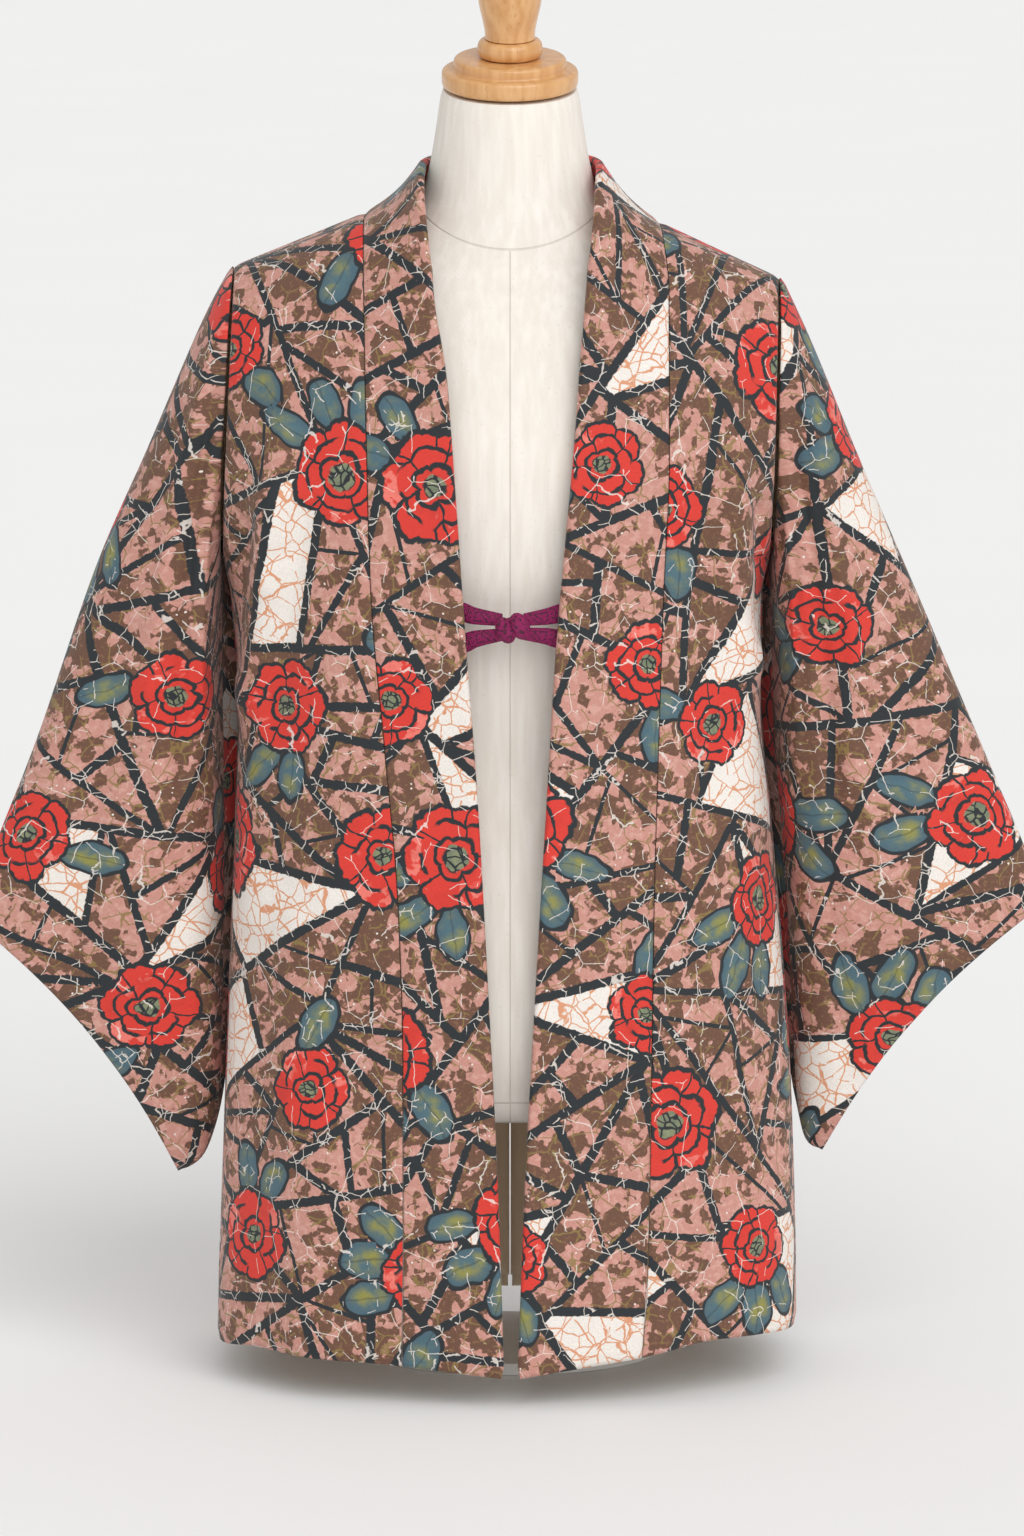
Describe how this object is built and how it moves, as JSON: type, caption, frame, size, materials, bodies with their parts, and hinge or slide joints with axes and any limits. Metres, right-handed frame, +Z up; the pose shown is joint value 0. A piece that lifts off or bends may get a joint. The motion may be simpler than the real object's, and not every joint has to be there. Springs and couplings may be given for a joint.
{
  "type": "haori jacket on dress form",
  "caption": "Hip-length haori jacket with bell sleeves, a turned collar band and a braided tie, worn by a limbless dress form on a plain stand",
  "frame": {"origin": "middle of the base plate's underside, where the stand rests", "axes": "+Z up; the wearer's front faces -Y; +X is the viewer's right when looking at the front"},
  "size_m": [0.744, 0.2696, 0.986],
  "materials": {
    "printed_cloth": "silk-like cloth with a fine twill weave, printed with red flowers, dark crossing bars, off-white facets and a brown and pink crackled ground",
    "lining": "plain taupe lining with a soft satin sheen",
    "form_linen": "off-white linen stretched smooth over the form, faint slubs and seams",
    "turned_wood": "honey-coloured turned wood, glossy lacquer",
    "stand_paint": "off-white satin paint",
    "tie_braid": "magenta braided cord with darker flecks"
  },
  "bodies": {
    "root": {"body_left": "printed_cloth", "body_right": "printed_cloth", "gusset_left": "printed_cloth", "gusset_right": "printed_cloth", "sleeve_left": "printed_cloth", "sleeve_right": "printed_cloth", "collar_left": "printed_cloth", "collar_right": "printed_cloth", "lining_left": "lining", "lining_right": "lining", "form_torso": "form_linen", "neck_cap": "turned_wood", "neck_bead": "turned_wood", "neck_knob": "turned_wood", "stand_base": "stand_paint", "stand_post_left": "stand_paint", "stand_post_right": "stand_paint", "himo_left_upper": "tie_braid", "himo_left_lower": "tie_braid", "himo_right_upper": "tie_braid", "himo_right_lower": "tie_braid", "himo_knot": "tie_braid"}
  },
  "joints": []
}
